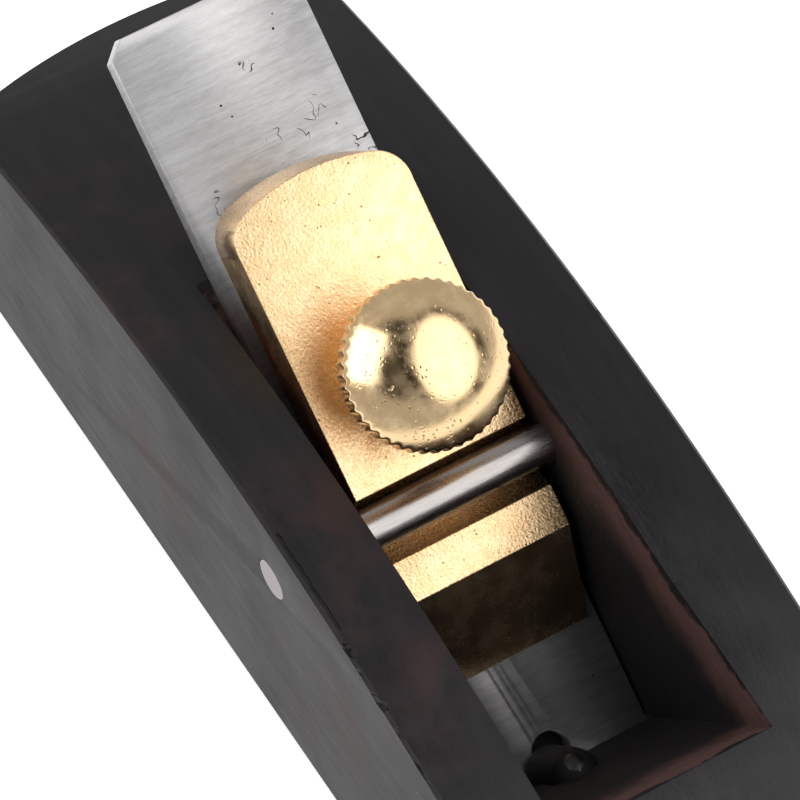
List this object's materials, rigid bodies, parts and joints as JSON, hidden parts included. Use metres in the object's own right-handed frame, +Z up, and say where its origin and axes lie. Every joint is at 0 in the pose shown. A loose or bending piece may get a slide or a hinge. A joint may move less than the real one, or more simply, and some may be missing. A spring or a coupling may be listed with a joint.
{
  "type": "hand plane",
  "caption": "Small dark wooden hand plane with an arched top, a thick steel iron, and a cast brass lever cap held by a cross bar and a domed thumbscrew.",
  "frame": {"origin": "middle of the sole, under the centre of the body", "axes": "+X towards the toe, +Y to the left of a user who pushes the plane, +Z up"},
  "size_m": [0.172, 0.055, 0.0676],
  "materials": {
    "ebony": "satin, waxed, fine lengthwise grain",
    "iron_steel": "ground across its width",
    "cast_brass": "cast, granular, satin",
    "bar_steel": "polished",
    "turned_brass": "turned, polished, knurled rim",
    "stud_steel": "threaded"
  },
  "bodies": {
    "plane_body": {"body": "ebony", "cross_bar": "bar_steel"},
    "iron": {"iron": "iron_steel"},
    "lever_cap": {"lever_cap": "cast_brass"},
    "thumbscrew_stud": {"thumbscrew_stud": "stud_steel"},
    "thumbscrew_head": {"thumbscrew_head": "turned_brass"}
  },
  "joints": [
    {"name": "iron_slide", "type": "slide", "parent": "plane_body", "child": "iron", "axis": [-0.8192, 0, 0.5736], "range_m": [-0.0008, 0.06]},
    {"name": "lever_cap_tilt", "type": "hinge", "parent": "plane_body", "child": "lever_cap", "pos_m": [0.00439, 0, 0.03471], "axis": [0, -1, 0], "range_deg": [0, 1.95]},
    {"name": "thumbscrew_travel", "type": "slide", "parent": "lever_cap", "child": "thumbscrew_stud", "axis": [0.5736, 0, 0.8192], "range_m": [0, 0.0006]},
    {"name": "thumbscrew_turn", "type": "hinge", "parent": "thumbscrew_stud", "child": "thumbscrew_head", "pos_m": [-0.00176, 0, 0.05574], "axis": [0.5736, 0, 0.8192], "range_deg": [0, 216]}
  ],
  "couplings": [
    {"joint": "thumbscrew_travel", "follows": "thumbscrew_turn", "m_per_rad": 0.00015915},
    {"joint": "lever_cap_tilt", "follows": "thumbscrew_turn", "ratio": 0.0090278}
  ]
}
